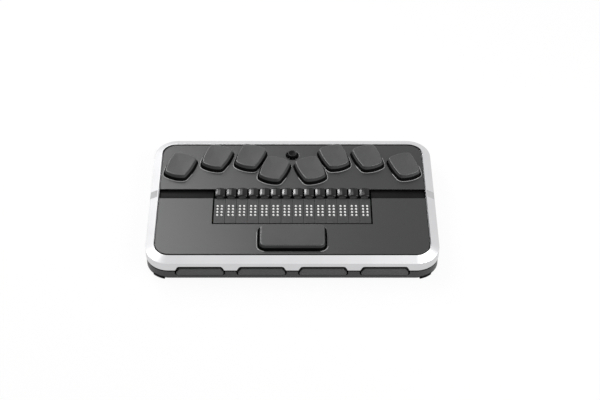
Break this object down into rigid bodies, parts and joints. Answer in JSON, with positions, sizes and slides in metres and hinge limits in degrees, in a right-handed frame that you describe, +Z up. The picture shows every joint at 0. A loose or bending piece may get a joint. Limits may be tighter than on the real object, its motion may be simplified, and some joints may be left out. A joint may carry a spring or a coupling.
{
  "type": "braille display",
  "caption": "Flat refreshable braille display with a row of pin cells, routing keys, leaning dot keys, a space bar, thumb keys in the front edge and a small joystick.",
  "frame": {"origin": "under the middle of the case, on the surface that the feet stand on", "axes": "+X right, +Y away from the reader, +Z up"},
  "size_m": [0.1648, 0.1016, 0.019],
  "materials": {
    "tray_plastic": "matte moulded plastic, fine grain",
    "satin_frame": "satin blasted and clear anodised",
    "plate_plastic": "matte soft-touch paint",
    "insert_plastic": "satin",
    "cap_plastic": "smooth matte",
    "black_plastic": "moulded",
    "key_plastic": "matte top, darker walls",
    "gloss_black": "polished",
    "pin_white": "smooth",
    "reed_metal": "coated strip",
    "circuit_board": "solder mask",
    "steel": "plain",
    "battery_foil": "foil pouch",
    "foot_rubber": "soft"
  },
  "bodies": {
    "case": {"base_tray": "tray_plastic", "bezel_frame": "satin_frame", "top_plate": "plate_plastic", "antenna_windows": "insert_plastic", "cell_caps": "cap_plastic", "cell_frames": "black_plastic", "piezo_reeds": "reed_metal", "cell_backplane": "circuit_board", "routing_guide": "tray_plastic", "routing_domes": "steel", "key_board": "circuit_board", "key_switches": "black_plastic", "return_springs": "steel", "front_board": "circuit_board", "side_switches": "black_plastic", "main_board": "circuit_board", "battery_pack": "battery_foil", "usb_socket": "steel", "joystick_base": "steel", "rubber_feet": "foot_rubber", "case_screws": "steel"},
    "dot_key_1": {"dot_key_1": "key_plastic"},
    "dot_key_2": {"dot_key_2": "key_plastic"},
    "dot_key_3": {"dot_key_3": "key_plastic"},
    "dot_key_4": {"dot_key_4": "key_plastic"},
    "dot_key_5": {"dot_key_5": "key_plastic"},
    "dot_key_6": {"dot_key_6": "key_plastic"},
    "dot_key_7": {"dot_key_7": "key_plastic"},
    "dot_key_8": {"dot_key_8": "key_plastic"},
    "space_bar": {"space_bar": "key_plastic"},
    "routing_key_01": {"routing_key_01": "gloss_black"},
    "routing_key_02": {"routing_key_02": "gloss_black"},
    "routing_key_03": {"routing_key_03": "gloss_black"},
    "routing_key_04": {"routing_key_04": "gloss_black"},
    "routing_key_05": {"routing_key_05": "gloss_black"},
    "routing_key_06": {"routing_key_06": "gloss_black"},
    "routing_key_07": {"routing_key_07": "gloss_black"},
    "routing_key_08": {"routing_key_08": "gloss_black"},
    "routing_key_09": {"routing_key_09": "gloss_black"},
    "routing_key_10": {"routing_key_10": "gloss_black"},
    "routing_key_11": {"routing_key_11": "gloss_black"},
    "routing_key_12": {"routing_key_12": "gloss_black"},
    "routing_key_13": {"routing_key_13": "gloss_black"},
    "routing_key_14": {"routing_key_14": "gloss_black"},
    "dot_pins_1": {"dot_pins_1": "pin_white"},
    "dot_pins_2": {"dot_pins_2": "pin_white"},
    "dot_pins_3": {"dot_pins_3": "pin_white"},
    "dot_pins_4": {"dot_pins_4": "pin_white"},
    "dot_pins_5": {"dot_pins_5": "pin_white"},
    "dot_pins_6": {"dot_pins_6": "pin_white"},
    "dot_pins_7": {"dot_pins_7": "pin_white"},
    "dot_pins_8": {"dot_pins_8": "pin_white"},
    "thumb_key_1": {"thumb_key_1": "tray_plastic"},
    "thumb_key_2": {"thumb_key_2": "tray_plastic"},
    "thumb_key_3": {"thumb_key_3": "tray_plastic"},
    "thumb_key_4": {"thumb_key_4": "tray_plastic"},
    "power_button": {"power_button": "tray_plastic"},
    "joystick_yoke": {"joystick_yoke": "steel"},
    "joystick_stem": {"joystick_stem": "steel"},
    "joystick_cap": {"joystick_cap": "black_plastic"}
  },
  "joints": [
    {"name": "dot_key_1_press", "type": "slide", "parent": "case", "child": "dot_key_1", "axis": [0, 0, -1], "range_m": [0, 0.0018], "stiffness_N_per_m": 150, "springref_m": -0.001, "deforming": ["return_springs"]},
    {"name": "dot_key_2_press", "type": "slide", "parent": "case", "child": "dot_key_2", "axis": [0, 0, -1], "range_m": [0, 0.0018], "stiffness_N_per_m": 150, "springref_m": -0.001, "deforming": ["return_springs"]},
    {"name": "dot_key_3_press", "type": "slide", "parent": "case", "child": "dot_key_3", "axis": [0, 0, -1], "range_m": [0, 0.0018], "stiffness_N_per_m": 150, "springref_m": -0.001, "deforming": ["return_springs"]},
    {"name": "dot_key_4_press", "type": "slide", "parent": "case", "child": "dot_key_4", "axis": [0, 0, -1], "range_m": [0, 0.0018], "stiffness_N_per_m": 150, "springref_m": -0.001, "deforming": ["return_springs"]},
    {"name": "dot_key_5_press", "type": "slide", "parent": "case", "child": "dot_key_5", "axis": [0, 0, -1], "range_m": [0, 0.0018], "stiffness_N_per_m": 150, "springref_m": -0.001, "deforming": ["return_springs"]},
    {"name": "dot_key_6_press", "type": "slide", "parent": "case", "child": "dot_key_6", "axis": [0, 0, -1], "range_m": [0, 0.0018], "stiffness_N_per_m": 150, "springref_m": -0.001, "deforming": ["return_springs"]},
    {"name": "dot_key_7_press", "type": "slide", "parent": "case", "child": "dot_key_7", "axis": [0, 0, -1], "range_m": [0, 0.0018], "stiffness_N_per_m": 150, "springref_m": -0.001, "deforming": ["return_springs"]},
    {"name": "dot_key_8_press", "type": "slide", "parent": "case", "child": "dot_key_8", "axis": [0, 0, -1], "range_m": [0, 0.0018], "stiffness_N_per_m": 150, "springref_m": -0.001, "deforming": ["return_springs"]},
    {"name": "space_bar_press", "type": "slide", "parent": "case", "child": "space_bar", "axis": [0, 0, -1], "range_m": [0, 0.0018], "stiffness_N_per_m": 200, "springref_m": -0.001, "deforming": ["return_springs"]},
    {"name": "routing_key_01_press", "type": "slide", "parent": "case", "child": "routing_key_01", "axis": [0, 0, -1], "range_m": [0, 0.0006], "stiffness_N_per_m": 200, "springref_m": -0.0005},
    {"name": "routing_key_02_press", "type": "slide", "parent": "case", "child": "routing_key_02", "axis": [0, 0, -1], "range_m": [0, 0.0006], "stiffness_N_per_m": 200, "springref_m": -0.0005},
    {"name": "routing_key_03_press", "type": "slide", "parent": "case", "child": "routing_key_03", "axis": [0, 0, -1], "range_m": [0, 0.0006], "stiffness_N_per_m": 200, "springref_m": -0.0005},
    {"name": "routing_key_04_press", "type": "slide", "parent": "case", "child": "routing_key_04", "axis": [0, 0, -1], "range_m": [0, 0.0006], "stiffness_N_per_m": 200, "springref_m": -0.0005},
    {"name": "routing_key_05_press", "type": "slide", "parent": "case", "child": "routing_key_05", "axis": [0, 0, -1], "range_m": [0, 0.0006], "stiffness_N_per_m": 200, "springref_m": -0.0005},
    {"name": "routing_key_06_press", "type": "slide", "parent": "case", "child": "routing_key_06", "axis": [0, 0, -1], "range_m": [0, 0.0006], "stiffness_N_per_m": 200, "springref_m": -0.0005},
    {"name": "routing_key_07_press", "type": "slide", "parent": "case", "child": "routing_key_07", "axis": [0, 0, -1], "range_m": [0, 0.0006], "stiffness_N_per_m": 200, "springref_m": -0.0005},
    {"name": "routing_key_08_press", "type": "slide", "parent": "case", "child": "routing_key_08", "axis": [0, 0, -1], "range_m": [0, 0.0006], "stiffness_N_per_m": 200, "springref_m": -0.0005},
    {"name": "routing_key_09_press", "type": "slide", "parent": "case", "child": "routing_key_09", "axis": [0, 0, -1], "range_m": [0, 0.0006], "stiffness_N_per_m": 200, "springref_m": -0.0005},
    {"name": "routing_key_10_press", "type": "slide", "parent": "case", "child": "routing_key_10", "axis": [0, 0, -1], "range_m": [0, 0.0006], "stiffness_N_per_m": 200, "springref_m": -0.0005},
    {"name": "routing_key_11_press", "type": "slide", "parent": "case", "child": "routing_key_11", "axis": [0, 0, -1], "range_m": [0, 0.0006], "stiffness_N_per_m": 200, "springref_m": -0.0005},
    {"name": "routing_key_12_press", "type": "slide", "parent": "case", "child": "routing_key_12", "axis": [0, 0, -1], "range_m": [0, 0.0006], "stiffness_N_per_m": 200, "springref_m": -0.0005},
    {"name": "routing_key_13_press", "type": "slide", "parent": "case", "child": "routing_key_13", "axis": [0, 0, -1], "range_m": [0, 0.0006], "stiffness_N_per_m": 200, "springref_m": -0.0005},
    {"name": "routing_key_14_press", "type": "slide", "parent": "case", "child": "routing_key_14", "axis": [0, 0, -1], "range_m": [0, 0.0006], "stiffness_N_per_m": 200, "springref_m": -0.0005},
    {"name": "dot_pins_1_drop", "type": "slide", "parent": "case", "child": "dot_pins_1", "axis": [0, 0, -1], "range_m": [0, 0.0007], "stiffness_N_per_m": 100, "springref_m": -0.0005, "deforming": ["piezo_reeds"]},
    {"name": "dot_pins_2_drop", "type": "slide", "parent": "case", "child": "dot_pins_2", "axis": [0, 0, -1], "range_m": [0, 0.0007], "stiffness_N_per_m": 100, "springref_m": -0.0005, "deforming": ["piezo_reeds"]},
    {"name": "dot_pins_3_drop", "type": "slide", "parent": "case", "child": "dot_pins_3", "axis": [0, 0, -1], "range_m": [0, 0.0007], "stiffness_N_per_m": 100, "springref_m": -0.0005, "deforming": ["piezo_reeds"]},
    {"name": "dot_pins_4_drop", "type": "slide", "parent": "case", "child": "dot_pins_4", "axis": [0, 0, -1], "range_m": [0, 0.0007], "stiffness_N_per_m": 100, "springref_m": -0.0005, "deforming": ["piezo_reeds"]},
    {"name": "dot_pins_5_drop", "type": "slide", "parent": "case", "child": "dot_pins_5", "axis": [0, 0, -1], "range_m": [0, 0.0007], "stiffness_N_per_m": 100, "springref_m": -0.0005, "deforming": ["piezo_reeds"]},
    {"name": "dot_pins_6_drop", "type": "slide", "parent": "case", "child": "dot_pins_6", "axis": [0, 0, -1], "range_m": [0, 0.0007], "stiffness_N_per_m": 100, "springref_m": -0.0005, "deforming": ["piezo_reeds"]},
    {"name": "dot_pins_7_drop", "type": "slide", "parent": "case", "child": "dot_pins_7", "axis": [0, 0, -1], "range_m": [0, 0.0007], "stiffness_N_per_m": 100, "springref_m": -0.0005, "deforming": ["piezo_reeds"]},
    {"name": "dot_pins_8_drop", "type": "slide", "parent": "case", "child": "dot_pins_8", "axis": [0, 0, -1], "range_m": [0, 0.0007], "stiffness_N_per_m": 100, "springref_m": -0.0005, "deforming": ["piezo_reeds"]},
    {"name": "thumb_key_1_press", "type": "slide", "parent": "case", "child": "thumb_key_1", "axis": [0, 1, 0], "range_m": [0, 0.001], "stiffness_N_per_m": 200, "springref_m": -0.001},
    {"name": "thumb_key_2_press", "type": "slide", "parent": "case", "child": "thumb_key_2", "axis": [0, 1, 0], "range_m": [0, 0.001], "stiffness_N_per_m": 200, "springref_m": -0.001},
    {"name": "thumb_key_3_press", "type": "slide", "parent": "case", "child": "thumb_key_3", "axis": [0, 1, 0], "range_m": [0, 0.001], "stiffness_N_per_m": 200, "springref_m": -0.001},
    {"name": "thumb_key_4_press", "type": "slide", "parent": "case", "child": "thumb_key_4", "axis": [0, 1, 0], "range_m": [0, 0.001], "stiffness_N_per_m": 200, "springref_m": -0.001},
    {"name": "power_button_press", "type": "slide", "parent": "case", "child": "power_button", "axis": [-1, 0, 0], "range_m": [0, 0.0005], "stiffness_N_per_m": 200, "springref_m": -0.001},
    {"name": "joystick_tilt_fore_aft", "type": "hinge", "parent": "case", "child": "joystick_yoke", "pos_m": [0, 0.03578, 0.0111], "axis": [1, 0, 0], "range_deg": [-6, 6], "stiffness_Nm_per_rad": 0.01},
    {"name": "joystick_tilt_sideways", "type": "hinge", "parent": "joystick_yoke", "child": "joystick_stem", "pos_m": [0, 0.03578, 0.0111], "axis": [0, 1, 0], "range_deg": [-6, 6], "stiffness_Nm_per_rad": 0.01},
    {"name": "joystick_press", "type": "slide", "parent": "joystick_stem", "child": "joystick_cap", "axis": [0, 0, -1], "range_m": [0, 0.0003], "stiffness_N_per_m": 300, "springref_m": -0.0005}
  ]
}
